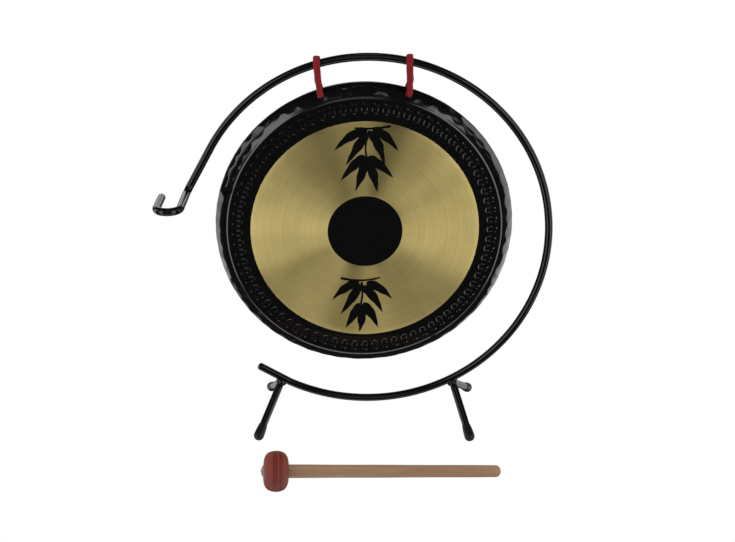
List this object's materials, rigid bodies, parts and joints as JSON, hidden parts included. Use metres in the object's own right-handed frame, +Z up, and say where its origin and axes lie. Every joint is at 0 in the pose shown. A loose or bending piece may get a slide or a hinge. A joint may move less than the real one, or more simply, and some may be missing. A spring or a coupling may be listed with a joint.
{
  "type": "tam tam gong",
  "caption": "Small tam tam gong hung by two red cords from an open ring stand of black round bar with a mallet hook, with its wooden mallet lying in front.",
  "frame": {"origin": "on the surface that the set stands on, under the middle of the box round the whole set, mallet included", "axes": "+X to the player's right, +Y away from the player, +Z up; the striking face looks along -Y"},
  "size_m": [0.3275, 0.1889, 0.328],
  "materials": {
    "black_enamel": "glossy black enamel on steel bar",
    "gong_brass": "brushed brass band turned on a lathe, with gloss black lacquer at the middle and at the edge",
    "red_cord": "braided dark red cord",
    "foot_vinyl": "soft black vinyl caps, satin",
    "mallet_rubber": "dull red rubber with a moulding seam",
    "handle_wood": "plain turned hardwood, lightly oiled"
  },
  "bodies": {
    "stand": {"ring_rod": "black_enamel", "left_leg_rod": "black_enamel", "right_leg_rod": "black_enamel", "left_weld_bead": "black_enamel", "right_weld_bead": "black_enamel", "front_left_foot_cap": "foot_vinyl", "front_right_foot_cap": "foot_vinyl", "rear_left_foot_cap": "foot_vinyl", "rear_right_foot_cap": "foot_vinyl"},
    "hanging_gong": {"gong": "gong_brass", "left_cord_loop": "red_cord", "right_cord_loop": "red_cord", "left_cord_knot": "red_cord", "right_cord_knot": "red_cord"},
    "mallet": {"mallet_head": "mallet_rubber", "mallet_handle": "handle_wood"}
  },
  "joints": [
    {"name": "gong_swing", "type": "hinge", "parent": "stand", "child": "hanging_gong", "pos_m": [0.00473, 0.04461, 0.3184], "axis": [0.9998, 0, 0.0195], "range_deg": [-30, 30]},
    {"name": "mallet_lift", "type": "slide", "parent": "stand", "child": "mallet", "axis": [0, 0, 1], "range_m": [0, 0.15]}
  ]
}
